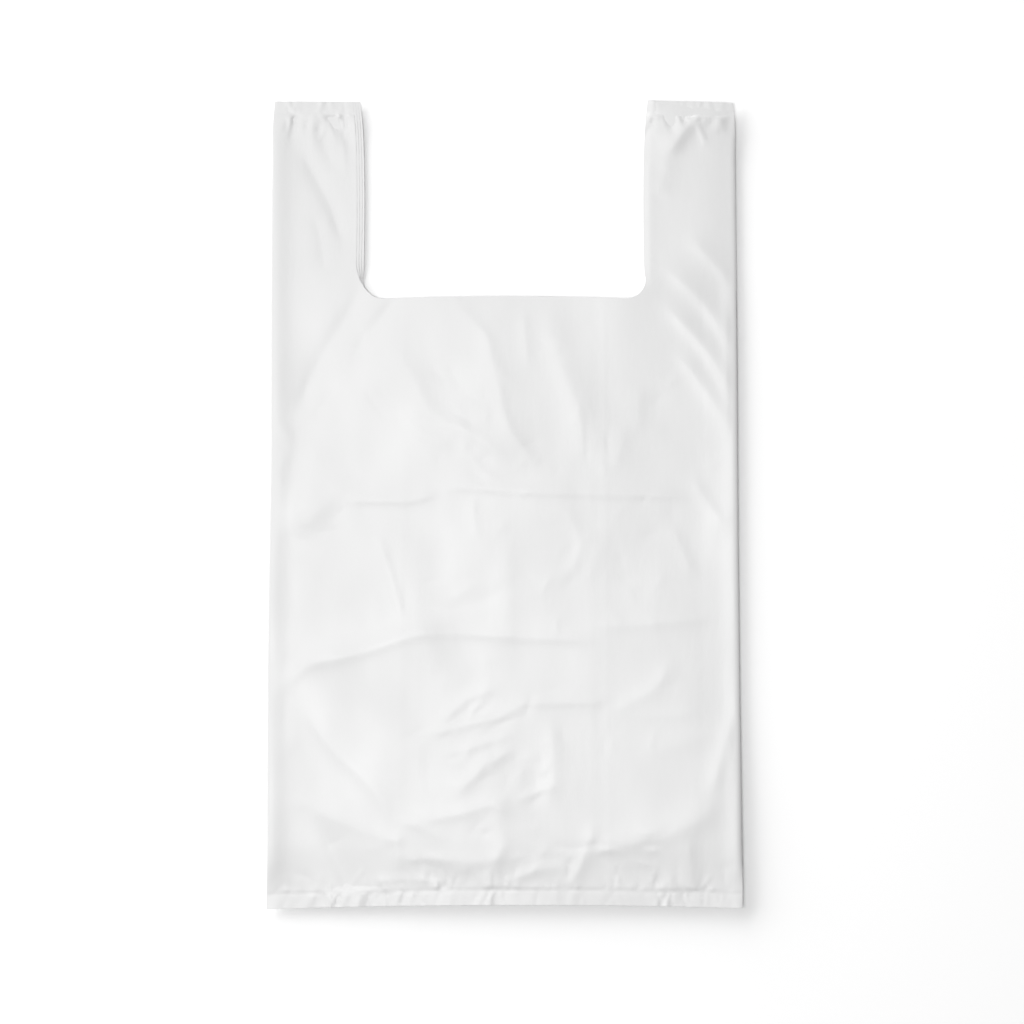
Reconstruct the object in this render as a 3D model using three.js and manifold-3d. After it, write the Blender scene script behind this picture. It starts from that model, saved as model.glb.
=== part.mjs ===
// A vest carrier bag of thin white film, lying flat on its back panel.
//
// The bag is one piece. A blown tube of film is flattened with a gusset tucked in at each side, so
// that its section is two M folds joined by a front and a back panel. It is welded across a little
// above its bottom edge and a little below its top edge, and a knife cuts out the mouth, which leaves
// a handle at each side. The cut is wider than the inner creases of the gussets are apart, so each
// handle is two doubled bands that only the weld at its top joins: a loop for the hand.
import * as THREE from "three";
import { mergeVertices } from "three/addons/utils/BufferGeometryUtils.js";
import Module from "manifold-3d";

// Millimetres: X across the bag, Y from the bottom edge to the handles, Z up from the table.
// The origin is under the middle of the flat bag.
const LENGTH = 510;
const BOTTOM_WIDTH = 300; // with the gussets folded in
const TOP_WIDTH = 291; // the same across the handle tops, where the side folds pull in
const GUSSET_DEPTH = 84; // from a side fold to the gusset's inner crease
const MOUTH_WIDTH = 179; // between the handles, at the foot of the cut
const MOUTH_FLARE = 1; // how much further out each side of the cut is at the top
const MOUTH_DEPTH = 124.3; // from the handle tops to the corners of the cut
const MOUTH_CROWN = 1.5; // how much higher the middle of the cut is than its corners
const MOUTH_CORNER = 13;
const BOTTOM_CROWN = 2.6; // how much higher the middle of the bottom edge is than its corners
const CROWN_REACH = 90; // how far up the film the bottom weld draws it

const FILM = 0.3; // film thickness
const LOOSE_PITCH = 1.2; // from one layer of the fold to the next, where the bag is loosest
const WELD_PITCH = 0.38; // the same at a weld, where the layers all but touch
const LOOSEN = 42; // distance from a weld over which the layers part
const PANEL_DIP = 0.75; // how far the front panel sinks between the gussets, in layer pitches
const DIP_SLOPE = 34; // width of the slope from the gusset down to that dip

const BOTTOM_SKIRT = 11; // loose film below the bottom weld
const HANDLE_SKIRT = 7; // loose film above a handle's weld
const WELD_WIDTH = 2;

const BACK_STEPS = 6; // across half of the back panel
const FRONT_STEPS = 12; // across half of the front panel
const WELD_STEPS = 24; // across the whole of a weld
const FOLD_STEPS = 4; // round one fold
const LOOSEN_STEPS = 4; // along the film, where the layers part
const CUT_STEPS = 8; // round a corner of the mouth, and along a crowned cut
const OVERSHOOT = 10; // how far a blank runs past the knife

const TOP = LENGTH / 2;
const BOTTOM = -LENGTH / 2;
const BOTTOM_WELD = BOTTOM + BOTTOM_SKIRT;
const HANDLE_WELD = TOP - HANDLE_SKIRT;

const { clamp, lerp, mapLinear, smoothstep } = THREE.MathUtils;
const wasm = await Module();
wasm.setup();

// ---- The flattened film, as functions of where on the bag it is ----

function halfWidthAt(y) {
  return mapLinear(y, BOTTOM, TOP, BOTTOM_WIDTH / 2, TOP_WIDTH / 2);
}

function pitchAt(y) {
  const fromWeld = Math.min(Math.abs(y - BOTTOM_WELD), Math.abs(y - HANDLE_WELD));
  return lerp(WELD_PITCH, LOOSE_PITCH, smoothstep(fromWeld, WELD_WIDTH / 2, LOOSEN));
}

// Height of the middle of a layer: 0 is the back panel, 1 and 2 the gusset's leaves, 3 the front panel.
function levelAt(layer, y) {
  return FILM / 2 + layer * pitchAt(y);
}

// The front panel lies on the gussets at its sides and sinks towards the back panel between them.
function frontLevelAt(x, y) {
  const inside = halfWidthAt(y) - GUSSET_DEPTH - Math.abs(x);
  return levelAt(3, y) - PANEL_DIP * pitchAt(y) * smoothstep(inside, 0, DIP_SLOPE);
}

// The bottom weld shrinks the film, which draws the middle of the bottom edge up.
function crownAt(x, y) {
  const across = clamp(x / halfWidthAt(y), -1, 1);
  return BOTTOM_CROWN * (1 - across ** 2) * (1 - smoothstep(y, BOTTOM_WELD, BOTTOM_WELD + CROWN_REACH));
}

// ---- Solids ----

function solidOf(geometry) {
  const bare = new THREE.BufferGeometry();
  bare.setAttribute("position", geometry.getAttribute("position"));
  bare.setIndex(geometry.index);
  const merged = mergeVertices(bare);
  return new wasm.Manifold(
    new wasm.Mesh({
      numProp: 3,
      vertProperties: merged.getAttribute("position").array,
      triVerts: new Uint32Array(merged.index.array),
    }),
  );
}

function geometryOf(solid) {
  const mesh = solid.getMesh();
  const geometry = new THREE.BufferGeometry();
  geometry.setAttribute("position", new THREE.BufferAttribute(mesh.vertProperties, 3));
  geometry.setIndex(new THREE.BufferAttribute(mesh.triVerts, 1));
  geometry.computeVertexNormals();
  return geometry;
}

// A closed solid through rings of points, all with the same number of points. `flat` gives the
// two coordinates of a ring's point that its end faces are triangulated in.
function loft(rings, flat) {
  const size = rings[0].length;
  const faces = [];
  for (let r = 0; r + 1 < rings.length; r++) {
    for (let i = 0; i < size; i++) {
      const a = r * size + i;
      const b = r * size + ((i + 1) % size);
      faces.push(a, a + size, b, b, a + size, b + size);
    }
  }
  const end = (rings.length - 1) * size;
  for (const [a, b, c] of THREE.ShapeUtils.triangulateShape(rings[0].map(flat), [])) {
    faces.push(a, b, c);
    faces.push(end + c, end + b, end + a);
  }
  const geometry = new THREE.BufferGeometry().setFromPoints(rings.flat());
  geometry.setIndex(faces);
  return solidOf(geometry);
}

// ---- The folded tube ----

// `steps` + 1 even values from one end to the other.
function spread(from, to, steps) {
  return Array.from({ length: steps + 1 }, (_, i) => lerp(from, to, i / steps));
}

// A half turn about (x, z), from below it to above it: round its right where `turn` is 1, its left where -1.
function fold(x, z, radius, turn) {
  return spread(-Math.PI / 2, Math.PI / 2, FOLD_STEPS).map(
    (angle) => new THREE.Vector2(x + turn * radius * Math.cos(angle), z + radius * Math.sin(angle)),
  );
}

// One face of the film round the tube at y: the outer face where `side` is 1, the inner where it is -1.
function filmRing(y, side) {
  const face = (side * FILM) / 2;
  const bend = pitchAt(y) / 2;
  const level = (layer) => levelAt(layer, y);
  const sideFold = halfWidthAt(y) - bend - FILM / 2;
  const innerCrease = halfWidthAt(y) - GUSSET_DEPTH + bend;

  const backAcross = spread(0, sideFold, BACK_STEPS).slice(0, -1);
  const frontAcross = spread(sideFold, 0, FRONT_STEPS).slice(1);
  const half = [
    ...backAcross.map((x) => new THREE.Vector2(x, level(0) - face)),
    ...fold(sideFold, level(0) + bend, bend + face, 1),
    ...fold(innerCrease, level(1) + bend, bend - face, -1),
    ...fold(sideFold, level(2) + bend, bend + face, 1),
    ...frontAcross.map((x) => new THREE.Vector2(x, frontLevelAt(x, y) + face)),
  ];
  const otherHalf = half.slice(1, -1).reverse().map((point) => new THREE.Vector2(-point.x, point.y));
  return [...half, ...otherHalf].map((point) => new THREE.Vector3(point.x, y + crownAt(point.x, y), point.y));
}

// Where along the bag the film's section is drawn: at both ends, at both sides of each weld, and in
// steps where the layers part.
function stations() {
  const parting = spread(WELD_WIDTH / 2, LOOSEN, LOOSEN_STEPS);
  return [
    BOTTOM,
    BOTTOM_WELD - WELD_WIDTH / 2,
    ...parting.map((away) => BOTTOM_WELD + away),
    BOTTOM_WELD + CROWN_REACH,
    ...parting.map((away) => HANDLE_WELD - away).reverse(),
    HANDLE_WELD + WELD_WIDTH / 2,
    TOP,
  ];
}

function foldedTube() {
  const sectionFace = (point) => new THREE.Vector2(point.x, point.z);
  const solid = (side, overshoot) => {
    const along = [BOTTOM - overshoot, ...stations(), TOP + overshoot];
    return loft(along.map((y) => filmRing(y, side)), sectionFace);
  };
  return solid(1, OVERSHOOT).subtract(solid(-1, 2 * OVERSHOOT));
}

// ---- The welds ----

// Melted film that fills the stack from the back panel's middle to the front panel's.
function weldBar(y) {
  const reach = halfWidthAt(y) - FILM;
  const rings = spread(-reach, reach, WELD_STEPS).map((x) => {
    const low = y - WELD_WIDTH / 2 + crownAt(x, y);
    const high = low + WELD_WIDTH;
    const base = levelAt(0, y);
    const roof = frontLevelAt(x, y);
    return [
      new THREE.Vector3(x, low, base),
      new THREE.Vector3(x, low, roof),
      new THREE.Vector3(x, high, roof),
      new THREE.Vector3(x, high, base),
    ];
  });
  return loft(rings, (point) => new THREE.Vector2(point.z, point.y));
}

// ---- The knife ----

// What the knife leaves, seen from above: the crowned bottom edge, the handle tops and the mouth.
// The side folds are not cut, so the outline passes outside them.
function knifeOutline() {
  const side = BOTTOM_WIDTH / 2 + OVERSHOOT;
  const foot = MOUTH_WIDTH / 2;
  const head = foot + MOUTH_FLARE;
  const corner = TOP - MOUTH_DEPTH;
  const outline = new THREE.Shape();
  outline.moveTo(-side, BOTTOM);
  outline.lineTo(-BOTTOM_WIDTH / 2, BOTTOM);
  outline.quadraticCurveTo(0, BOTTOM + 2 * BOTTOM_CROWN, BOTTOM_WIDTH / 2, BOTTOM);
  outline.lineTo(side, BOTTOM);
  outline.lineTo(side, TOP);
  outline.lineTo(head, TOP);
  outline.lineTo(foot, corner + MOUTH_CORNER);
  outline.absarc(foot - MOUTH_CORNER, corner + MOUTH_CORNER, MOUTH_CORNER, 0, -Math.PI / 2, true);
  outline.quadraticCurveTo(0, corner + 2 * MOUTH_CROWN, MOUTH_CORNER - foot, corner);
  outline.absarc(MOUTH_CORNER - foot, corner + MOUTH_CORNER, MOUTH_CORNER, -Math.PI / 2, -Math.PI, true);
  outline.lineTo(-head, TOP);
  outline.lineTo(-side, TOP);
  return outline;
}

function knifeBlock() {
  const thickness = levelAt(3, 0) + FILM / 2 + 2 * OVERSHOOT;
  const block = new THREE.ExtrudeGeometry(knifeOutline(), {
    depth: thickness,
    bevelEnabled: false,
    curveSegments: CUT_STEPS,
  });
  block.translate(0, 0, -OVERSHOOT);
  return solidOf(block);
}

// ---- The bag ----

const whiteFilm = new THREE.MeshStandardMaterial({ color: 0xeaeaea, roughness: 0.42, metalness: 0 });

const bag = foldedTube().add(weldBar(BOTTOM_WELD)).add(weldBar(HANDLE_WELD)).intersect(knifeBlock());
const mesh = new THREE.Mesh(geometryOf(bag), whiteFilm);
mesh.name = "carrier_bag";

const part = new THREE.Group();
part.add(mesh);

export default part;
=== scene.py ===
"""A vest carrier bag of thin white film, lying flat on a white table and seen from straight above.

The bag is one tube of film, flattened with a gusset folded in at each side, so it lies in four
plies: the back panel, the gusset's lower and upper leaves, and the front panel. Each ply is laid out
flat as a sheet of triangles, then lifted to its height, and the plies are joined round the folds. The
front panel carries the relief: the air in the bag, the rims of the side folds, the creases, and the
puckers that run into the welds. Lengths are in millimetres here, and become metres when the mesh is
made. X runs across the bag, Y from its bottom edge to its handles, and Z up from the table.
"""

import math
import random

import bpy
import numpy as np
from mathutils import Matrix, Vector
from mathutils.geometry import delaunay_2d_cdt


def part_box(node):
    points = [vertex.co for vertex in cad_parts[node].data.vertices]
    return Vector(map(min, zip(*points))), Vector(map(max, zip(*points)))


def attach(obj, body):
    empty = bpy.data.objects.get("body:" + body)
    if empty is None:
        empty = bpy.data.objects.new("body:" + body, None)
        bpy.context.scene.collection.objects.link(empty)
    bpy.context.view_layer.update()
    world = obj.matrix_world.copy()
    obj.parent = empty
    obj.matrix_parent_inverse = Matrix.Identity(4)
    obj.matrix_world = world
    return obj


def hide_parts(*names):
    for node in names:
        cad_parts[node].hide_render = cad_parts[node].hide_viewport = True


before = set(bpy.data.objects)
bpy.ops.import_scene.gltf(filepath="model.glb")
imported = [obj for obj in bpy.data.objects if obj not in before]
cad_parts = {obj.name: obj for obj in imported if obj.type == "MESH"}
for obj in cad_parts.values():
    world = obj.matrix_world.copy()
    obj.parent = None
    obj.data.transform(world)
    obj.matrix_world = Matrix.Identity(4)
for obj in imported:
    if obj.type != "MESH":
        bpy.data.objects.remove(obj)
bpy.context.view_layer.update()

MM = 0.001
NODE = "carrier_bag"

box_low, box_high = (np.array(corner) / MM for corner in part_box(NODE))
BOTTOM, TOP = box_low[1], box_high[1]
HALF_BOTTOM = box_high[0]  # half the bag's width at its bottom edge
HALF_TOP = 145.0  # about half its width across the handle tops

# The flattened tube
GUSSET = 84.0  # from a side fold to the gusset's inner crease
FILM = 0.06  # drawn film thickness

# Half the bag's width at heights up each side. The welds draw the film in at the handle tops.
LEFT_SIDE = [
    (-255, 150),
    (-135, 150),
    (-60, 149.3),
    (20, 147.8),
    (130, 147.7),
    (200, 147.3),
    (235, 146.6),
    (255, 144.9),
]
RIGHT_SIDE = [
    (-255, 150),
    (-240, 150),
    (-125, 148.6),
    (-20, 147.5),
    (90, 146.8),
    (235, 145.5),
    (255, 144.2),
]

# The cuts
MOUTH_HALF = 89.5  # from the middle line to a handle's cut
MOUTH_BOW = 1.0  # how far the middle of each handle's cut lies nearer the middle line
MOUTH_SPLAY = 1.8  # how far the top of it lies further out
SPLAY_POWER = 9  # how sharply the cut turns out at its top
MOUTH_CORNER = 13.0
MOUTH_LOW = TOP - 124.8  # height of the mouth's floor at its corners
MOUTH_CROWN = 1.5  # how much higher the middle of the floor is
BOTTOM_CROWN = 2.6  # how much higher the middle of the bottom edge is than its corners
BOTTOM_SKEW = 1.0  # how much higher its right corner is than its left
LEFT_TOP_DROP = 0.5  # how far the left handle's top edge lies below the CAD box's
RIGHT_TOP_SLOPE = 0.028  # how steeply the right handle's top edge falls towards the side fold

# How the plies' cuts lie at the handles
LEFT_SLIP = 1.6  # how far each ply's cut at the left handle lies inside the cut of the ply under it
RIGHT_SLIP = 0.3  # how far it lies outside it at the right handle
SLIP_REACH = 25.0  # how far in from the cut the plies have slipped
SLIP_START = (4.0, 18.0)  # where it starts above the mouth's floor, and how much further up it is full

# The welds
SKIRT = 9.4  # film below the bottom weld
HANDLE_SKIRT = 7.2  # film above a handle's weld
WELD_STACK = 0.35  # height of the four plies at a weld
WELD_GROOVE = 0.16  # depth of the line that a weld presses into the film
GROOVE_WIDTH = 0.7
WELD_STEP = 0.12  # how much lower the film lies past the weld
STEP_REACH = 1.0  # how far to each side of the weld that step runs

# How the plies lie on each other
PLY_SHARE = (0.0, 0.32, 0.68, 1.0)  # of the room: back panel, lower leaf, upper leaf, front panel
TABLE_GAP = 0.1  # how high the back panel lies above the table
PARTING = 32.0  # distance from a weld over which the plies part
SKIRT_PARTING = 7.0  # the same in the skirts
SKIRT_OPEN = 0.1  # how far they part there, as a share
CUT_PARTING = 30.0  # distance from a handle's cut over which they part

# How high the front panel lies above the table. A rim is its height, the distance from the side
# fold's edge to its crest, and the width of its slope.
LOFT = 2.9  # at the left side, before the rest is added
RIGHT_RISE = 2.9  # how much higher its right side lies than its left
BOTTOM_RISE = 1.6  # how much higher its bottom edge lies
BOTTOM_RISE_REACH = 160.0  # how far up the bag that is felt
CROWN = 1.4  # how much higher its middle is than its sides
CROWN_HALF = 125.0  # how far from the middle line the crown reaches
BOTTOM_SWELL = 1.7  # height of the air that is left above the bottom weld
SWELL_FULL = 26.0  # how far above the weld that swell is full
SWELL_FADE = 120.0  # how much further up it is gone
LEFT_RIM = (1.25, 1.7, 9.0)
RIGHT_RIM = (0.55, 3.2, 5.6)
LEFT_SWELL = 0.12  # how much more of a rim the left side has further down the bag
LEFT_SWELL_TOP = 100.0  # height on the bag where that starts
LEFT_SWELL_FADE = 110.0  # how much further down it is full
WELD_SHARE = 0.35  # how much of the rims and the slow swells is left at a weld
WELD_REACH = 22.0  # distance from a weld over which they come back
SIDE_CALM = 30.0  # distance from a side fold over which the slow swells start

# The handles
HANDLE_START = 30.0  # how far above the mouth's floor the handles' own shape is full
HANDLE_LIFT = (1.6, 2.72)  # how much higher the tops of the left and the right handle lie
LIFT_REACH = 42.0  # how far down from the top edge that is felt
CUT_DROP = 1.2  # how much lower a handle lies at its cut
CUT_DROP_REACH = 48.0
CUT_CURL = 0.7  # how much lower still the right handle's cut curls
CUT_CURL_REACH = 3.6
RIGHT_TILT = 0.036  # how steeply the right handle slopes down to the right
TILT_LINE = 118.0  # how far right of the middle line the line is that it tilts about
TILT_ACROSS = (40.0, 40.0)  # where the tilt starts across the bag, and how much further out it is full
TILT_UP = (60.0, 110.0)  # the same up the bag

# The slow swells of the air that is left under the front panel
SWELLS = [
    # (height, millimetres to a radian across the bag, the same up the bag, phase)
    (0.20, 31, 58, 0.6),
    (0.18, 47, -37, 2.1),
    (0.10, 19, 83, 4.0),
    (0.08, -71, 23, 1.2),
]
RIPPLE = 0.03  # height of the finer ripple on them


def ease(t):
    """A smooth step from 0, where t is 0 or less, to 1, where t is 1 or more."""
    t = np.clip(t, 0.0, 1.0)
    return t * t * (3 - 2 * t)


def ramp(distance, start, length):
    """A smooth step from 0 at the start to 1 a length further on."""
    return ease((distance - start) / length)


def at(function, *values):
    """One value of a function that works on arrays."""
    return float(function(*(np.array(v, float) for v in values)))


# ---- The outline of the flat bag ----


def half_width(y, side):
    """Distance from the middle line to the side fold."""
    heights, widths = zip(*(LEFT_SIDE if side < 0 else RIGHT_SIDE))
    return np.interp(y, heights, widths)


def bottom_edge(x):
    across = x / HALF_BOTTOM
    return BOTTOM + BOTTOM_CROWN * (1 - across**2) + BOTTOM_SKEW * (1 + across) / 2


def bottom_weld(x):
    return bottom_edge(x) + SKIRT


def handle_top(x):
    right = TOP - RIGHT_TOP_SLOPE * (np.abs(x) - MOUTH_HALF)
    return np.where(x < 0, TOP - LEFT_TOP_DROP, right)


def handle_weld(x):
    return handle_top(x) - HANDLE_SKIRT


def mouth_side(y):
    """Distance from the middle line to a handle's cut."""
    up = np.clip((y - MOUTH_LOW) / (TOP - MOUTH_LOW), 0, 1)
    return MOUTH_HALF - MOUTH_BOW * np.sin(math.pi * up) + MOUTH_SPLAY * up**SPLAY_POWER


def mouth_floor(x):
    return MOUTH_LOW + MOUTH_CROWN * (1 - (x / (MOUTH_HALF - MOUTH_CORNER)) ** 2).clip(0)


def from_mouth(x, y):
    """Distance from the cut of the mouth, positive on the film."""
    out = np.abs(x) - (mouth_side(y) - MOUTH_CORNER)
    down = mouth_floor(x) + MOUTH_CORNER - y
    return np.hypot(out.clip(0), down.clip(0)) + np.minimum(np.maximum(out, down), 0) - MOUTH_CORNER


def from_side(x, y):
    """Distance from the nearest side fold's edge."""
    side = np.where(x < 0, half_width(y, -1), half_width(y, 1))
    return side - np.abs(x)


def weld_gap(x, y):
    """Distance from the nearest weld."""
    return np.minimum(np.abs(y - bottom_weld(x)), np.abs(y - handle_weld(x)))


def within_welds(x, y):
    """Distance from the nearest weld, positive between the welds and negative in the skirts."""
    return np.minimum(y - bottom_weld(x), handle_weld(x) - y)


def up_handle(y):
    """0 below the mouth and 1 in the handles."""
    return ramp(y, MOUTH_LOW, HANDLE_START)


# ---- Creases ----

CREASE_CUT = 5.0  # how many widths from a crease its height is taken as nothing
STEEPNESS = 1.6  # how fast a crease falls away from its crest
SHARE = 3.0  # a stretch of a route this much further off than the nearest counts 0.37 of it


def smooth_route(points, per_span=6):
    """A smooth curve through the points (Catmull-Rom)."""
    p = np.array(points, float)
    p = np.vstack([2 * p[0] - p[1], p, 2 * p[-1] - p[-2]])
    curve = []
    for a, b, c, d in zip(p, p[1:], p[2:], p[3:]):
        for t in np.arange(per_span) / per_span:
            cubic = t * (3 * (b - c) + d - a)
            curve.append(b + 0.5 * t * (c - a + t * (2 * a - 5 * b + 4 * c - d + cubic)))
    curve.append(p[-2])
    return np.array(curve)


def nearest_on(curve, x, y):
    """For each point, its distance from a curve, the side of it that it is on, positive on the left,
    and how far along the curve it is, from 0 to 1. All the stretches of the curve that are nearly as
    near share in that last value, so that it doesn't jump across the inside of a bend."""
    lengths = np.hypot(*np.diff(curve, axis=0).T)
    done = np.concatenate([[0], np.cumsum(lengths)])
    best = np.full(x.shape, np.inf)
    side, place, total = np.zeros_like(x), np.zeros_like(x), np.zeros_like(x)
    for k, ((ax, ay), (bx, by)) in enumerate(zip(curve, curve[1:])):
        ux, uy = (bx - ax) / lengths[k], (by - ay) / lengths[k]
        along = ((x - ax) * ux + (y - ay) * uy).clip(0, lengths[k])
        dx, dy = x - ax - along * ux, y - ay - along * uy
        gap = np.hypot(dx, dy)
        closer = gap < best
        best = np.where(closer, gap, best)
        side = np.where(closer, ux * dy - uy * dx, side)
        weight = np.exp(-gap / SHARE)
        place += weight * (done[k] + along) / done[-1]
        total += weight
    return best, side, place / total


def crease(x, y, route, height, left, right=None, fade=0.3):
    """Height of a ridge (or a groove, where height is negative) along a route. Its flanks have their
    own widths to the left and the right of the way the route runs, and at each end it fades out over
    a share of its length."""
    right = left if right is None else right
    curve = smooth_route(route)
    reach = CREASE_CUT * max(left, right)
    (x0, y0), (x1, y1) = curve.min(axis=0) - reach, curve.max(axis=0) + reach
    near = (x > x0) & (x < x1) & (y > y0) & (y < y1)
    lift = np.zeros_like(x)
    if near.any():
        gap, side, place = nearest_on(curve, x[near], y[near])
        ends = ease(place / fade) * ease((1 - place) / fade)
        width = np.where(side > 0, left, right)
        lift[near] = height * ends / np.cosh(STEEPNESS * gap / width)
    return lift


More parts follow.
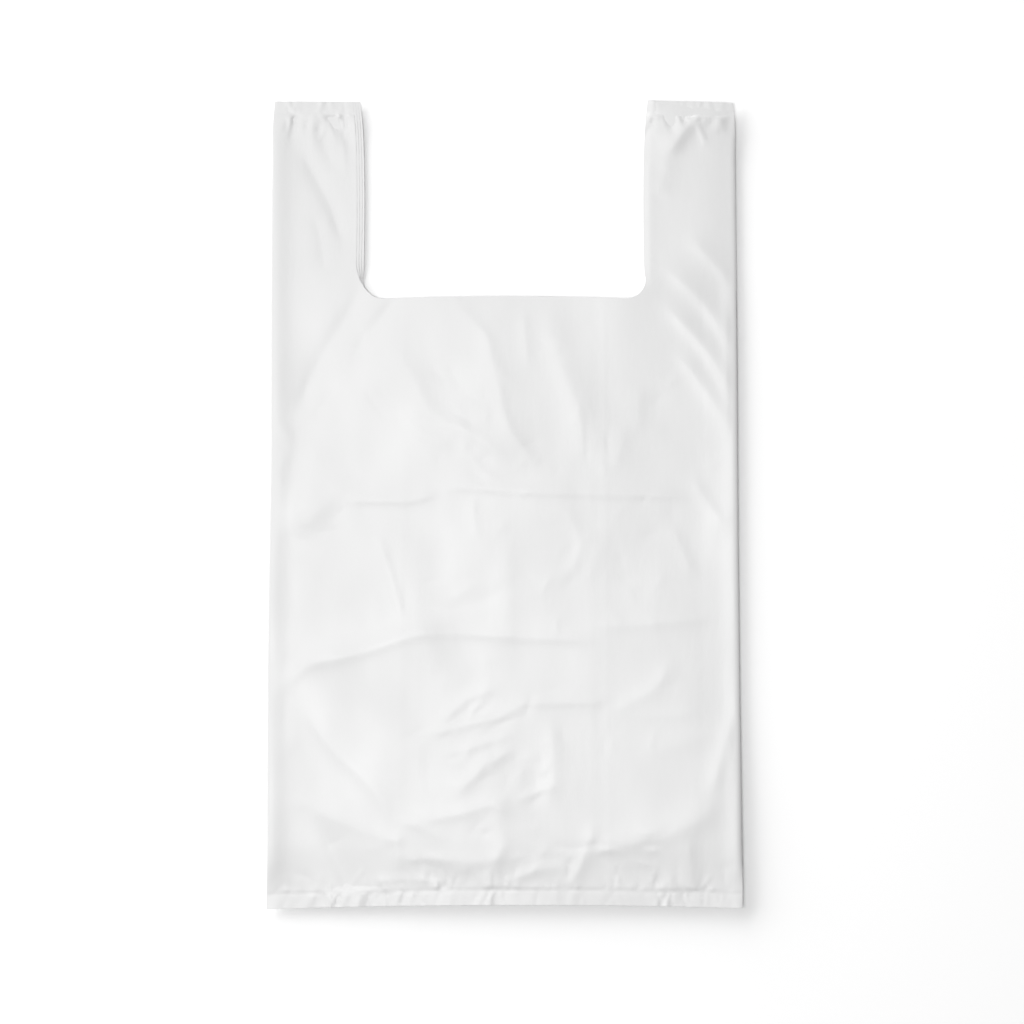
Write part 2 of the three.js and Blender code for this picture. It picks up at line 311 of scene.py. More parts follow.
CREASES = [
    # (route, height, width on the left of the route, width on its right, and fade if it isn't 0.3)
    # left handle
    ([(-131, 230), (-118, 204), (-110, 189), (-104, 176), (-94, 160)], -0.75, 8.0, 4.6),
    ([(-120, 260), (-111, 248), (-101, 239), (-96, 231), (-91, 221)], -0.85, 5.6, 5.2),
    ([(-126, 264), (-129, 251), (-132, 242), (-137, 228)], -0.60, 3.8, 3.0),
    ([(-125, 262), (-125, 236)], -0.22, 2.4, 2.2),
    ([(-120, 252), (-114, 228), (-106, 208)], -0.45, 6.0, 4.4),
    ([(-121, 186), (-116, 166), (-114, 146)], -0.35, 5.0, 3.6),
    ([(-122, 254), (-121, 222)], 0.25, 2.8, 2.8),
    ([(-104, 258), (-100, 240), (-97, 205)], 0.22, 3.0, 3.0),
    # from the mouth's left corner down to the side
    (
        [(-86, 148), (-94, 129), (-101, 117), (-109, 105), (-116, 92), (-124, 75), (-132, 54)],
        -0.85, 7.0, 6.0, 0.2,
    ),
    ([(-64, 138), (-78, 118), (-87, 107), (-100, 84)], -0.75, 6.0, 5.0),
    ([(-101, 76), (-113, 66), (-123, 52)], -0.40, 5.0, 4.0),
    # right handle
    ([(113, 270), (110, 250), (111, 238)], 0.80, 4.0, 7.0),
    ([(128, 272), (123, 252), (116, 241), (108, 230), (97, 212)], 1.50, 6.4, 12.0),
    ([(135, 262), (136, 234)], 0.80, 3.8, 6.0),
    ([(95, 262), (94, 232)], 0.50, 3.6, 5.0),
    ([(104, 220), (98, 194)], 0.45, 7.0, 6.0),
    ([(114, 172), (127, 158), (136, 148), (143, 137)], 0.50, 6.4, 4.4),
    # from the mouth's right corner down to the side
    ([(96, 157), (111, 142), (123, 130), (132, 119), (139, 107), (143, 93)], 0.90, 9.0, 5.0),
    ([(97, 132), (113, 114), (124, 102), (132, 91), (138, 79), (142, 60)], 0.85, 8.4, 5.0),
    ([(105, 101), (121, 81), (130, 68), (137, 56), (142, 40)], 0.66, 7.4, 5.0),
    ([(118, 22), (125, 6), (134, -7), (141, -22)], 0.45, 4.6, 6.0),
    # below the mouth
    (
        [(-34, 130), (-22, 118), (-12, 107), (-8, 92), (-3, 72), (1, 54), (10, 38), (24, 22)],
        1.20, 24.0, 24.0,
    ),
    (
        [(-36, 134), (-22, 118), (-12, 107), (-8, 92), (-3, 72), (1, 54), (10, 38), (26, 20)],
        0.38, 4.0, 6.0, 0.15,
    ),
    ([(28, 135), (30, 110), (33, 98), (38, 84), (46, 64), (50, 46), (51, 24)], 0.80, 13.0, 8.0),
    ([(12, 126), (13, 106), (15, 84)], 0.26, 4.0, 3.6),
    ([(52, 62), (52, 22)], -0.16, 3.4, 1.6),
    ([(85, 78), (84, 42)], 0.30, 5.0, 9.0),
    ([(73, 52), (74, 38), (68, 20)], 0.20, 4.0, 5.0),
    (
        [(-76, 106), (-64, 90), (-56, 76), (-48, 60), (-34, 51), (-19, 44), (-6, 35), (8, 23)],
        0.75, 7.0, 7.0,
    ),
    ([(-58, 47), (-46, 42), (-33, 36)], 0.40, 5.6, 4.6),
    ([(-23, 35), (-15, 22), (-3, 17)], 0.30, 3.2, 3.6),
    # the pinch in the left side, the wide fold below it, and the cross fold that meets it
    ([(-140, 54), (-136, 38), (-140, 20)], 0.30, 4.4, 5.0),
    ([(-117, 46), (-121, 14), (-130, -22)], 1.30, 18.0, 9.0),
    ([(-94, 20), (-109, 6), (-121, -6), (-137, -22)], 0.80, 9.0, 14.0),
    ([(-102, 3), (-75, 3), (-60, 3), (-40, 8)], 0.62, 6.0, 3.4, 0.2),
    (
        [(-50, 7), (-30, 11), (-10, 10), (6, 9), (23, 8), (60, 7), (98, 6), (124, 4)],
        0.48, 6.0, 3.2, 0.16,
    ),
    # between the cross folds
    ([(-82, -14), (-75, -36), (-70, -52), (-64, -78)], 0.60, 4.0, 4.6),
    ([(-66, -63), (-40, -66), (-20, -62), (-6, -57), (11, -48)], -0.26, 6.0, 5.0),
    ([(-21, 5), (-17, -24)], 0.26, 3.4, 4.0),
    ([(3, -10), (2, -38), (2, -64), (4, -100)], 0.30, 6.0, 8.0),
    ([(30, 6), (41, -8), (47, -23), (43, -38), (28, -52)], 0.36, 6.0, 5.0),
    ([(103, -11), (112, -28), (120, -48)], 0.28, 4.0, 5.0),
    ([(60, -18), (57, -36), (48, -52)], 0.18, 5.0, 5.0),
    # the second cross fold
    (
        [(-131, -104), (-106, -97), (-90, -93), (-75, -88), (-60, -83), (-30, -76)],
        1.80, 13.0, 42.0, 0.25,
    ),
    ([(-143, -126), (-135, -111), (-122, -101), (-104, -97), (-88, -92)], 0.50, 8.0, 8.0),
    (
        [(-140, -118), (-124, -101), (-90, -93), (-60, -83), (-45, -81),
         (-25, -81), (5, -83), (30, -84), (66, -86)],
        0.50, 5.0, 4.2, 0.14,
    ),
    ([(44, -76), (75, -76), (100, -74), (142, -71)], 0.34, 4.4, 4.0),
    # the loop that turns back from its left end
    (
        [(-127, -110), (-125, -130), (-114, -147), (-102, -160),
         (-89, -172), (-79, -184), (-66, -208)],
        0.62, 7.0, 5.6,
    ),
    ([(-132, -112), (-134, -160)], 0.30, 6.4, 5.0),
    # the crumpled patch in the middle
    (
        [(-57, -144), (-40, -143), (-23, -138), (-7, -135), (8, -128), (20, -125), (70, -124)],
        0.46, 4.6, 3.6, 0.16,
    ),
    ([(-46, -142), (-30, -128), (-21, -121), (2, -114)], 0.40, 4.6, 3.6),
    ([(-44, -160), (-22, -153), (-10, -149), (12, -142)], 0.38, 4.2, 3.4),
    ([(-36, -188), (-18, -170), (-10, -162), (12, -150)], 0.55, 5.4, 4.6),
    ([(-58, -200), (-26, -194), (-14, -190), (8, -182)], 0.50, 6.0, 4.2),
    ([(26, -126), (31, -153), (31, -170), (27, -196)], 0.55, 8.0, 5.0),
    ([(5, -187), (20, -181), (34, -176)], 0.34, 3.4, 3.4),
    ([(0, -178), (-4, -200), (-1, -213), (-6, -232)], 0.42, 6.0, 8.0),
    ([(-52, -146), (-54, -170), (-48, -190)], 0.26, 4.0, 4.0),
    # right of it
    ([(60, -134), (86, -121), (97, -113), (108, -92)], 0.34, 5.0, 6.0),
    ([(70, -126), (91, -133), (128, -131)], 0.20, 4.4, 4.0),
    ([(84, -156), (109, -151), (139, -141)], 0.26, 9.0, 7.0),
    ([(142, -130), (137, -158), (130, -186)], 0.70, 6.0, 6.0),
    (
        [(138, -166), (127, -192), (117, -201), (103, -207), (88, -211), (66, -214), (44, -220)],
        1.00, 10.0, 14.0,
    ),
    # above the bottom weld
    ([(40, -244), (50, -222), (57, -198)], 0.60, 4.4, 5.4),
    ([(114, -206), (117, -228), (117, -252)], 0.50, 4.4, 10.0),
    (
        [(-143, -187), (-126, -188), (-114, -195), (-99, -201), (-84, -207), (-58, -214)],
        0.34, 9.0, 5.4, 0.2,
    ),
    ([(-68, -203), (-68, -236)], 0.30, 4.4, 2.4),
    ([(-70, -198), (-50, -204), (-34, -214)], 0.34, 4.0, 4.4),
    ([(-80, -222), (-50, -222), (-35, -224), (-17, -225), (8, -220)], 0.45, 6.4, 5.2),
    ([(-119, -196), (-104, -226), (-88, -266)], -1.10, 12.0, 7.0),
    ([(-94, -239), (-62, -236), (-26, -239)], 0.22, 3.4, 2.8),
    ([(-10, -252), (-3, -212)], 0.40, 4.0, 5.0),
    ([(-4, -240), (15, -232), (38, -227)], 0.40, 4.4, 3.6),
]


class Scatter:
    """Many short creases of one kind, each with a route, a height and a width."""

    def __init__(self, creases, fade):
        self.creases = creases
        self.fade = fade

    def __call__(self, x, y):
        lifts = (crease(x, y, *one, fade=self.fade) for one in self.creases)
        return sum(lifts)


HEIGHTS = (0.3, 1.0)  # heights of scattered creases, as shares of the tallest
SCATTER_FADE = 0.45
SKIRT_FADE = 0.25
PUCKER_START = 0.6  # how far from the weld a pucker starts
PUCKER_LEAN = 0.35  # how far it leans, as a share of its length
CRUMPLE_BOW = 0.12  # how far a crumple bows out, as a share of its length
CRUMPLE_WIDTHS = (1.9, 3.6)


def puckers(seed, start, end, weld, way, count, tallest, longest, widest=2.0):
    """Creases that run into a weld, scattered along it by a seeded draw. They leave it up the bag,
    where `way` is 1, or down it, where it is -1. In the skirts they are even and run past the cut."""
    draw = random.Random(seed)
    in_skirt = way * at(weld, 0) > 0
    creases = []
    for _ in range(count):
        x = draw.uniform(start, end)
        lean = draw.gauss(0, PUCKER_LEAN)
        length = longest * (draw.uniform(0.8, 1) if in_skirt else draw.uniform(0.2, 1) ** 2)
        y = at(weld, x)
        route = [(x, y + PUCKER_START * way), (x + lean * length, y + (PUCKER_START + length) * way)]
        height = draw.choice((1, -1)) * tallest * draw.uniform(*HEIGHTS)
        width = draw.uniform(0.5, 1) * widest
        creases.append((route, height, width))
    return Scatter(creases, fade=SKIRT_FADE if in_skirt else SCATTER_FADE)


FOLD_INSET = 4.0  # no pucker starts nearer than this to a side fold
CUT_INSET = 2.5  # or nearer than this to a handle's cut
LEFT_EDGE, RIGHT_EDGE = -HALF_BOTTOM + FOLD_INSET, HALF_BOTTOM - FOLD_INSET
HANDLE_OUT, HANDLE_IN = HALF_TOP - FOLD_INSET, MOUTH_HALF + CUT_INSET
SKIRT_RUN = 1.6 * SKIRT  # length of the puckers in the bottom skirt
HANDLE_RUN = 1.6 * HANDLE_SKIRT
PUCKERS = [
    puckers(3, LEFT_EDGE, RIGHT_EDGE, bottom_weld, 1, 120, tallest=0.19, longest=21, widest=1.8),
    puckers(4, LEFT_EDGE, RIGHT_EDGE, bottom_weld, -1, 120, tallest=0.10, longest=SKIRT_RUN, widest=1.9),
    puckers(5, -120, -58, bottom_weld, -1, 30, tallest=0.34, longest=SKIRT_RUN, widest=2.2),
    puckers(11, -20, 0, bottom_weld, -1, 4, tallest=0.30, longest=SKIRT_RUN, widest=2.4),
    puckers(12, 95, 114, bottom_weld, -1, 10, tallest=0.25, longest=SKIRT_RUN, widest=1.8),
    puckers(6, -HANDLE_OUT, -HANDLE_IN, handle_weld, -1, 26, tallest=0.34, longest=22),
    puckers(7, HANDLE_IN, HANDLE_OUT, handle_weld, -1, 26, tallest=0.44, longest=24, widest=2.6),
    puckers(8, -HANDLE_OUT, -HANDLE_IN, handle_weld, 1, 30, tallest=0.14, longest=HANDLE_RUN, widest=1.6),
    puckers(9, HANDLE_IN, HANDLE_OUT, handle_weld, 1, 30, tallest=0.14, longest=HANDLE_RUN, widest=1.6),
]


def crumples(seed, centre, spread, count, tallest, longest, turn=35, wander=50):
    """Creases scattered over a patch by a seeded draw, most of them in its middle. `turn` is the
    angle that they run at on average, in degrees, and `wander` how much it varies."""
    draw = random.Random(seed)
    creases = []
    for _ in range(count):
        x, y = draw.gauss(centre[0], spread[0]), draw.gauss(centre[1], spread[1])
        angle = math.radians(draw.gauss(turn, wander))
        length = longest * draw.uniform(0.35, 1)
        dx, dy = length * math.cos(angle) / 2, length * math.sin(angle) / 2
        bow = draw.gauss(0, CRUMPLE_BOW)
        route = [(x - dx, y - dy), (x - bow * dy, y + bow * dx), (x + dx, y + dy)]
        height = draw.choice((1, -1)) * tallest * draw.uniform(*HEIGHTS)
        width = draw.uniform(*CRUMPLE_WIDTHS)
        creases.append((route, height, width))
    return Scatter(creases, fade=SCATTER_FADE)


CRUMPLES = [
    crumples(21, (-6, -158), (24, 24), 48, tallest=0.20, longest=28, turn=32, wander=22),
    crumples(26, (12, -165), (22, 26), 16, tallest=0.18, longest=18, turn=95, wander=16),
    crumples(22, (-30, 60), (34, 30), 36, tallest=0.20, longest=20, turn=-40, wander=30),
    crumples(23, (0, -216), (66, 10), 44, tallest=0.22, longest=20, turn=5, wander=24),
    crumples(24, (5, -20), (60, 45), 50, tallest=0.14, longest=22),
    crumples(25, (95, -20), (28, 80), 24, tallest=0.14, longest=22),
]

# Where the relief starts, and how much further on it is full
FOLD_RAMP = (1.5, 6.0)  # creases, in from a side fold
WELD_RAMP = (0.4, 2.5)  # creases, in from a weld
PUCKER_FOLD_RAMP = (0.0, 4.0)
PUCKER_WELD_RAMP = (0.2, 1.2)

SHARPNESS = 0.88  # how much of their listed height the creases keep
GUSSET_LINES = [(0.0, 0.045), (10.0, 0.03)]  # distance in from the gusset's crease, and height
GUSSET_LINE_WIDTH = 1.6


def weld_mark(x, y):
    """The line that a weld presses into the film, and the step down to the skirt past it."""
    bottom, top = bottom_weld(x) - y, y - handle_weld(x)
    groove = np.exp(-((bottom / GROOVE_WIDTH) ** 2)) + np.exp(-((top / GROOVE_WIDTH) ** 2))
    step = ramp(bottom, -STEP_REACH, 2 * STEP_REACH) + ramp(top, -STEP_REACH, 2 * STEP_REACH)
    return -WELD_GROOVE * groove - WELD_STEP * step


def gusset_mark(x, y):
    """The gussets' inner creases, as they show through the front panel."""
    inside = from_side(x, y) - GUSSET
    return sum(
        height * np.exp(-(((inside - away) / GUSSET_LINE_WIDTH) ** 2)) for away, height in GUSSET_LINES
    )


def relief(x, y):
    """Creases and puckers in the front panel. Only the puckers run on past a weld."""
    side = from_side(x, y)
    shown = ramp(side, *FOLD_RAMP) * ramp(within_welds(x, y), *WELD_RAMP)
    folds = sum(crease(x, y, *one) for one in CREASES)
    crumpled = sum(patch(x, y) for patch in CRUMPLES)
    puckered = sum(group(x, y) for group in PUCKERS)
    at_weld = ramp(weld_gap(x, y), *PUCKER_WELD_RAMP) * ramp(side, *PUCKER_FOLD_RAMP)
    creased = SHARPNESS * (folds + crumpled) + gusset_mark(x, y)
    return creased * shown + puckered * at_weld + weld_mark(x, y)


# ---- Heights ----


def rim(side, height, crest, slope):
    """How much higher the film lies at a distance `side` in from a side fold's edge."""
    return height * np.exp(-(((side - crest).clip(0) / slope) ** 2))


def rims(x, y):
    """The raised bands along the side folds. The right handle has none."""
    side = from_side(x, y)
    left = rim(side, *LEFT_RIM) * (1 + LEFT_SWELL * ease((LEFT_SWELL_TOP - y) / LEFT_SWELL_FADE))
    right = rim(side, *RIGHT_RIM) * (1 - up_handle(y))
    return np.where(x < 0, left, right)


def slow_swells(x, y):
    """The slow swells, and a finer ripple on them."""
    ripple = np.sin(x / 8.5 + y / 14 + 2.0) * np.sin(y / 11 - x / 23)
    swells = sum(
        height * np.sin(x / across + y / along + phase) for height, across, along, phase in SWELLS
    )
    return swells + RIPPLE * ripple


def lie(x, y):
    """How much higher the bag's right side and its bottom edge lie than the rest of it."""
    rightward = (1 + x / HALF_BOTTOM) / 2
    return RIGHT_RISE * rightward + BOTTOM_RISE * ease(1 - (y - BOTTOM) / BOTTOM_RISE_REACH)


def air(x, y):
    """How far the air in the bag lifts the front panel. The bottom weld holds it down."""
    above_weld = y - bottom_weld(x)
    crown = CROWN * (1 - (x / CROWN_HALF) ** 2).clip(0) * (1 - up_handle(y))
    fading = ease(1 - (above_weld - SWELL_FULL) / SWELL_FADE)
    return crown + BOTTOM_SWELL * fading * (0.5 + 0.5 * ease(above_weld / PARTING))


def handle_shape(x, y):
    """The handles are higher at their tops and lower at their cuts, and the right one is tilted."""
    left, right = HANDLE_LIFT
    cut = from_mouth(x, y)
    lift = np.where(x < 0, left, right) * ease(1 - (handle_top(x) - y) / LIFT_REACH)
    drop = CUT_DROP * up_handle(y) * (1 - ease(cut / CUT_DROP_REACH))
    curl = CUT_CURL * up_handle(y) * (1 - ease(cut / CUT_CURL_REACH)) * (x > 0)
    tilt = RIGHT_TILT * (x - TILT_LINE) * ramp(x, *TILT_ACROSS) * ramp(y, *TILT_UP)
    return lift - drop - curl - tilt


def loft(x, y):
    """Height of the front panel above the table before it is creased."""
    loose = WELD_SHARE + (1 - WELD_SHARE) * ease(weld_gap(x, y) / WELD_REACH)
    swells = slow_swells(x, y) * ease(from_side(x, y) / SIDE_CALM)
    return LOFT + lie(x, y) + air(x, y) + handle_shape(x, y) + (rims(x, y) + swells) * loose


def opening(x, y):
    """How far the plies part: 0 at a weld, where they are melted together, and 1 in loose film."""
    away = weld_gap(x, y)
    in_skirt = SKIRT_OPEN * ease(away / SKIRT_PARTING)
    return np.where(within_welds(x, y) > 0, ease(away / PARTING), in_skirt)


def stack(x, y):
    """Height of the back panel, and the room between it and the front panel, at points on the bag."""
    front = loft(x, y) + relief(x, y)
    from_cut = np.where(y > MOUTH_LOW + MOUTH_CORNER / 2, ease(from_mouth(x, y) / CUT_PARTING), 1)
    parted = opening(x, y) * (1 - (1 - from_cut) * up_handle(y))
    room = WELD_STACK + (front - WELD_STACK - TABLE_GAP) * parted
    return front - room, room


def slip(x, y):
    """How far a ply lies to the left of the ply under it: only near the handles' cuts."""
    slips = np.where(x < 0, LEFT_SLIP, RIGHT_SLIP)
    return slips * (1 - ease(from_mouth(x, y) / SLIP_REACH)) * ramp(y - MOUTH_LOW, *SLIP_START)


# ---- Laying out the plies ----

FINE = 1.45  # between points where the front panel bends tightly
SPARSE = 9.0  # between points in the plies that the front panel hides
COARSE = 4.0  # between points of those plies' outlines
BEND = 0.006  # what counts as tight: how far a point stands off the mean of its neighbours
BEND_AT = 1.2  # how far away those neighbours are
WELD_FINE = 2.0  # distance from a weld within which every point is kept
CREASE_ROUND = 0.8  # across the round of a gusset's inner crease
ROUND_STEPS = 7  # round one fold
NEAR_WELD, NEAR_TOP = 12.0, 22.0  # how far from a weld and a top edge the rounds are drawn closely
ROW = math.sqrt(0.75)  # between rows of a triangular grid, as a share of its step
BATCHES = 60  # the points are tested against an outline in this many parts, to save memory


def chain(start, end, step):
    """Even values from start to end, no further apart than step."""
    return np.linspace(start, end, max(1, math.ceil(abs(end - start) / step)) + 1)


def fold_heights(x, top, close=1.3, wide=2.8):
    """Where along a fold at x its rounds are drawn: closer together near the welds."""
    start = at(bottom_edge, x)
    near_weld = at(bottom_weld, x) + NEAR_WELD
    near_top = top - NEAR_TOP
    lower = chain(start, near_weld, close)[:-1]
    middle = chain(near_weld, near_top, wide)[:-1]
    upper = chain(near_top, top, close)
    return np.concatenate([lower, middle, upper])


def fold_width(side):
    """How wide a side fold's round is."""
    return LEFT_RIM[1] if side < 0 else RIGHT_RIM[1]


def side_chain(side):
    """Where a side fold's round meets the plies."""
    heights = fold_heights(side * HALF_BOTTOM, at(handle_top, side * HALF_BOTTOM))
    return [(side * (at(half_width, y, side) - fold_width(side)), y) for y in heights]


def crease_chain(side):
    """Where the round of a gusset's inner crease meets its leaves, from the bottom edge up to the
    mouth."""
    x = side * (HALF_BOTTOM - GUSSET)
    heights = fold_heights(x, at(mouth_floor, x), close=2.6, wide=5.0)
    return [(side * (at(half_width, y, side) - GUSSET + CREASE_ROUND), y) for y in heights]


def mouth_chain(side, start_x, step):
    """The cut from start_x out along the mouth's floor, round its corner and up the handle."""
    foot = MOUTH_HALF - MOUTH_CORNER
    centre_y = MOUTH_LOW + MOUTH_CORNER
    points = [(x, at(mouth_floor, x)) for x in chain(start_x, foot, step)]
    for angle in chain(-math.pi / 2, 0, step / MOUTH_CORNER)[1:]:
        across, up = MOUTH_CORNER * math.cos(angle), MOUTH_CORNER * math.sin(angle)
        points.append((foot + across, centre_y + up))
    for y in chain(centre_y, at(handle_top, side * MOUTH_HALF), step)[1:]:
        points.append((at(mouth_side, y), y))
    return [(side * x, y) for x, y in points]


def cut_chain(start, end, edge, step):
    """The cut between two points of the outline, along the bottom edge or a handle top."""
    return [(x, at(edge, x)) for x in chain(start[0], end[0], step)[1:-1]]


def panel_outline(step):
    """The whole bag's outline, inside its side folds' rounds, anticlockwise from its bottom left."""
    left, right = side_chain(-1), side_chain(1)
    left_cut, right_cut = mouth_chain(-1, 0, step), mouth_chain(1, 0, step)
    return (
        left[:1]
        + cut_chain(left[0], right[0], bottom_edge, step)
        + right
        + cut_chain(right[-1], right_cut[-1], handle_top, step)
        + right_cut[::-1]
        + left_cut[1:]
        + cut_chain(left_cut[-1], left[-1], handle_top, step)
        + left[:0:-1]
    )


def leaf_outline(side, step):
    """A gusset leaf's outline: its inner crease, the mouth's cut, the handle top, the side fold and
    the bottom edge."""
    fold, inner = side_chain(side), crease_chain(side)
    cut = mouth_chain(side, abs(inner[-1][0]), step)
    return (
        inner
        + cut[1:]
        + cut_chain(cut[-1], fold[-1], handle_top, step)
        + fold[::-1]
        + cut_chain(fold[0], inner[0], bottom_edge, step)
    )


def inside_of(outline, x, y):
    """Whether each point is inside the outline, and how far it is from it."""
    px, py = x[:, None], y[:, None]
    a = np.array(outline)
    b = np.roll(a, -1, axis=0)
    (ax, ay), (bx, by) = a.T, b.T
    ux, uy = bx - ax, by - ay
    meets = ux * (py - ay) / np.where(uy == 0, 1, uy) + ax
    crosses = ((ay > py) != (by > py)) & (px < meets)
    along = (((px - ax) * ux + (py - ay) * uy) / (ux**2 + uy**2)).clip(0, 1)
    gap = np.hypot(px - ax - along * ux, py - ay - along * uy).min(1)
    return crosses.sum(1) % 2 == 1, gap


def grid_points(outline, step, tight=None):
    """Points on a triangular grid inside an outline. Only every second point of every second row is
    kept, apart from where `tight` asks for them all."""
    (x0, y0), (x1, y1) = np.min(outline, axis=0), np.max(outline, axis=0)
    rows, columns = int((y1 - y0) / (step * ROW)) + 1, int((x1 - x0) / step) + 1
    j, i = np.mgrid[0:rows, 0:columns]
    x = (x0 + (i + 0.5 * (j % 2)) * step).ravel()
    y = (y0 + j * step * ROW).ravel()
    keep = np.ones(x.shape, bool)
    if tight is not None:
        coarse = ((j % 2 == 0) & ((i - j // 2) % 2 == 0)).ravel()
        keep = coarse | tight(x, y)
    x, y = x[keep], y[keep]
    batches = zip(np.array_split(x, BATCHES), np.array_split(y, BATCHES))
    parts = [inside_of(outline, *batch) for batch in batches]
    inside = np.concatenate([part[0] for part in parts])
    gap = np.concatenate([part[1] for part in parts])
    keep = inside & (gap > 0.5 * step)
    return list(zip(x[keep].tolist(), y[keep].tolist()))


def triangulate(outline, inner):
    """Triangles over an outline and the points inside it, turning anticlockwise from above."""
    points = outline + inner
    border = [(k, (k + 1) % len(outline)) for k in range(len(outline))]
    flat, _, faces, *_ = delaunay_2d_cdt([Vector(p) for p in points], border, [], 1, 1e-6)
    if len(flat) != len(points):
        raise ValueError("two points of a ply are in the same place")
    return np.array(points), np.array([list(face) for face in faces])


def bends_tightly(x, y):
    """Whether the front panel needs every point of the grid here."""

    def height(dx, dy):
        return loft(x + dx, y + dy) + relief(x + dx, y + dy)

    steps = [(BEND_AT, 0), (-BEND_AT, 0), (0, BEND_AT), (0, -BEND_AT)]
    ring = [height(dx, dy) for dx, dy in steps]
    return (np.abs(np.mean(ring, axis=0) - height(0, 0)) > BEND) | (weld_gap(x, y) < WELD_FINE)


# ---- The mesh ----

CUT_ANGLE = 60.0  # edges that turn by more degrees than this stay sharp


class Film:
    """The bag's one surface as it is put together: corners in millimetres, and groups of faces."""

    def __init__(self):
        self.corners = []
        self.faces = []
        self.count = 0

    def add(self, corners):
        start = self.count
        self.corners.append(np.asarray(corners, float))
        self.count += len(corners)
        return start

    def ply(self, level, outline, inner):
        """One ply, lifted to its height. Every second ply lies with its outer face down. The result
        is where each point of the outline is in the list of corners."""
        points, triangles = triangulate(outline, inner)
        x, y = points.T
        base, room = stack(x, y)
        slipped = x - level * slip(x, y)
        start = self.add(np.column_stack([slipped, y, base + PLY_SHARE[level] * room]))
        if level in (0, 2):
            triangles = triangles[:, ::-1]
        self.faces.append(triangles + start)
        return {point: start + k for k, point in enumerate(outline)}

    def join(self, upper, lower, route, width, outward):
        """The round of a fold between two plies, along the route they share: half an ellipse."""
        corners = np.vstack(self.corners)
        angles = np.linspace(math.pi / 2, -math.pi / 2, ROUND_STEPS + 1)[1:-1]
        rows = []
        for point in route:
            a, b = corners[upper[point]], corners[lower[point]]
            middle, half = (a + b) / 2, (a[2] - b[2]) / 2
            out, up = outward * width * np.cos(angles), half * np.sin(angles)
            turn = middle + np.column_stack([out, np.zeros(len(angles)), up])
            start = self.add(turn)
            rows.append([upper[point], *range(start, start + len(turn)), lower[point]])
        grid = np.array(rows)
        a, b, c, d = grid[:-1, :-1], grid[1:, :-1], grid[1:, 1:], grid[:-1, 1:]
        quads = np.stack([a, b, c, d], axis=-1).reshape(-1, 4)
        if outward > 0:
            quads = quads[:, ::-1]
        self.faces.append(quads)

    def mesh(self, name):
        faces = [face for group in self.faces for face in group.tolist()]
        mesh = bpy.data.meshes.new(name)
        mesh.from_pydata((np.vstack(self.corners) * MM).tolist(), [], faces)
        mesh.validate()
        mesh.shade_smooth()
        return mesh


def build_film():
    """The whole bag: its four plies, joined round the side folds and the gussets' inner creases."""
    film = Film()
    outline = panel_outline(FINE)
    front = film.ply(3, outline, grid_points(outline, FINE, bends_tightly))
    plain = panel_outline(COARSE)
    back = film.ply(0, plain, grid_points(plain, SPARSE))
    for side in (-1, 1):
        edge = leaf_outline(side, COARSE)
        if side < 0:
            edge = edge[::-1]
        inner = grid_points(edge, SPARSE)
        upper, lower = film.ply(2, edge, inner), film.ply(1, edge, inner)
        film.join(front, upper, side_chain(side), fold_width(side), side)
        film.join(lower, back, side_chain(side), fold_width(side), side)
        film.join(upper, lower, crease_chain(side), CREASE_ROUND, -side)
    return thicken(film.mesh("bag_surface"))


def thicken(surface):
    """Give the film its thickness, and keep the edges of its cuts sharp."""
    draft = bpy.data.objects.new("draft", surface)
    bpy.context.collection.objects.link(draft)
    skin = draft.modifiers.new("film thickness", "SOLIDIFY")
    skin.thickness = FILM * MM
    skin.offset = 0
    solid = draft.evaluated_get(bpy.context.evaluated_depsgraph_get())
    mesh = bpy.data.meshes.new_from_object(solid)
    bpy.data.objects.remove(draft)
    mesh.name = "bag_film"
    mesh.set_sharp_from_angle(angle=math.radians(CUT_ANGLE))
    bag = bpy.data.objects.new("bag_film", mesh)
    bpy.context.collection.objects.link(bag)
    return bag


# ---- Materials ----

NOISE_RANGE = (0.3, 0.7)  # noise seldom leaves this range
LINE_HEIGHT = 0.000016  # of the die lines, in metres


def add_noise(tree, scale, stretch, low, high):
    """A value that wanders between low and high over the film, in object space."""
    nodes, links = tree.nodes, tree.links
    place = nodes.new("ShaderNodeMapping")
    place.inputs["Scale"].default_value = stretch
    noise = nodes.new("ShaderNodeTexNoise")
    noise.inputs["Scale"].default_value = scale
    noise.inputs["Detail"].default_value = 3.0
    spread = nodes.new("ShaderNodeMapRange")
    spread.inputs["From Min"].default_value, spread.inputs["From Max"].default_value = NOISE_RANGE
    spread.inputs["To Min"].default_value = low
    spread.inputs["To Max"].default_value = high
    links.new(nodes.new("ShaderNodeTexCoord").outputs["Object"], place.inputs["Vector"])
    links.new(place.outputs["Vector"], noise.inputs["Vector"])
    links.new(noise.outputs["Fac"], spread.inputs["Value"])
    return spread.outputs["Result"]


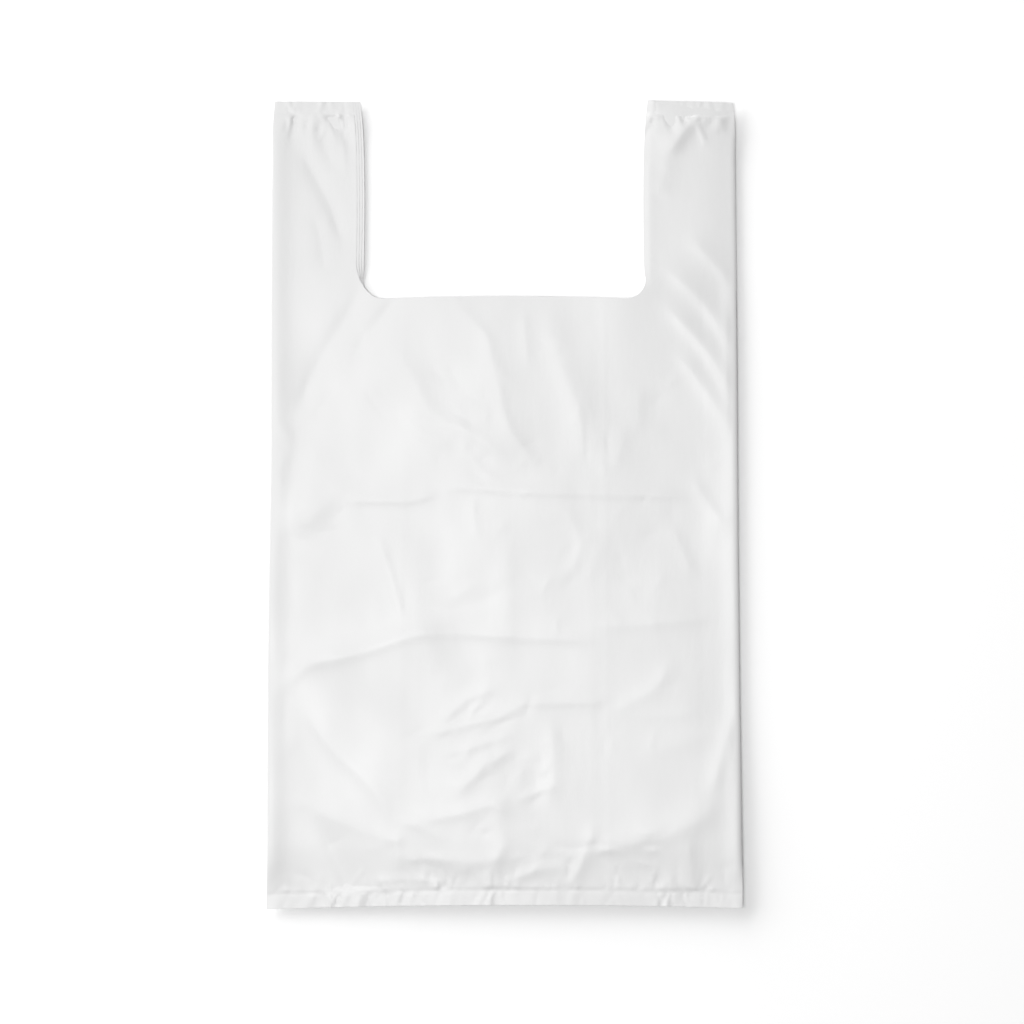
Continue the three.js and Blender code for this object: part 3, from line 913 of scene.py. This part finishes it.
def film_material():
    """Milky white film: a little cloudy, with the faint lengthwise lines of the die that it was blown
    from."""
    material = bpy.data.materials.new("white_film")
    material.use_nodes = True
    tree = material.node_tree
    shader = tree.nodes["Principled BSDF"]
    shader.inputs["Specular IOR Level"].default_value = 0.5

    clouds = add_noise(tree, scale=14.0, stretch=(1.0, 0.6, 1.0), low=0.636, high=0.650)
    mottle = add_noise(tree, scale=160.0, stretch=(1.0, 0.5, 1.0), low=-0.004, high=0.004)
    tint = tree.nodes.new("ShaderNodeMath")
    tint.operation = "ADD"
    tree.links.new(clouds, tint.inputs[0])
    tree.links.new(mottle, tint.inputs[1])
    tree.links.new(tint.outputs["Value"], shader.inputs["Base Color"])

    gloss = add_noise(tree, scale=40.0, stretch=(1.0, 0.5, 1.0), low=0.40, high=0.48)
    tree.links.new(gloss, shader.inputs["Roughness"])

    die_lines = add_noise(tree, scale=300.0, stretch=(1.0, 0.3, 1.0), low=0.0, high=LINE_HEIGHT)
    lines = tree.nodes.new("ShaderNodeBump")
    lines.inputs["Strength"].default_value = 1.0
    lines.inputs["Distance"].default_value = 1.0
    tree.links.new(die_lines, lines.inputs["Height"])
    tree.links.new(lines.outputs["Normal"], shader.inputs["Normal"])
    return material


def table_material():
    material = bpy.data.materials.new("white_table")
    material.use_nodes = True
    shader = material.node_tree.nodes["Principled BSDF"]
    shader.inputs["Base Color"].default_value = (0.92, 0.92, 0.92, 1)
    shader.inputs["Roughness"].default_value = 0.9
    shader.inputs["Specular IOR Level"].default_value = 0.0
    return material


# ---- The studio, in metres ----

TABLE_HALF = 4.0
CAMERA_PLACE = (0.0047, -0.0044, 1.8)
LENS = 100.0
SKY = 0.13  # brightness of the light from all round


def look_at(obj, target):
    obj.rotation_euler = (Vector(target) - obj.location).to_track_quat("-Z", "Y").to_euler()


def add_area_light(name, azimuth, elevation, distance, size, power):
    """A softbox of the given width and height, in metres, aimed at the bag. Azimuth 90 is up the bag,
    towards its handles, and 180 is its left."""
    lamp = bpy.data.lights.new(name, "AREA")
    lamp.shape = "RECTANGLE"
    lamp.size, lamp.size_y = size
    lamp.energy = power
    light = bpy.data.objects.new(name, lamp)
    a, e = math.radians(azimuth), math.radians(elevation)
    out, up = math.cos(e), math.sin(e)
    light.location = distance * Vector((out * math.cos(a), out * math.sin(a), up))
    look_at(light, (0, 0, 0))
    bpy.context.collection.objects.link(light)


def add_table(material):
    half = TABLE_HALF
    mesh = bpy.data.meshes.new("table")
    corners = [(-half, -half, 0), (half, -half, 0), (half, half, 0), (-half, half, 0)]
    mesh.from_pydata(corners, [], [(0, 1, 2, 3)])
    table = bpy.data.objects.new("table", mesh)
    mesh.materials.append(material)
    bpy.context.collection.objects.link(table)


def add_camera():
    """Straight above, a little to the right of and below the bag's middle."""
    data = bpy.data.cameras.new("camera")
    data.lens = LENS
    camera = bpy.data.objects.new("camera", data)
    camera.location = CAMERA_PLACE
    bpy.context.collection.objects.link(camera)
    bpy.context.scene.camera = camera


def set_up_studio():
    world = bpy.data.worlds.new("studio")
    world.use_nodes = True
    background = world.node_tree.nodes["Background"]
    background.inputs["Color"].default_value = (1, 1, 1, 1)
    background.inputs["Strength"].default_value = SKY
    bpy.context.scene.world = world
    bpy.context.scene.view_settings.view_transform = "Standard"
    add_area_light("key", azimuth=140, elevation=25, distance=4.5, size=(7.0, 3.3), power=312)
    add_area_light("overhead", azimuth=220, elevation=84, distance=2.4, size=(0.8, 0.8), power=35)
    add_table(table_material())
    add_camera()


# ---- The bag ----

bag = build_film()
bag.data.materials.append(film_material())
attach(bag, "root")
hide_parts(NODE)
set_up_studio()
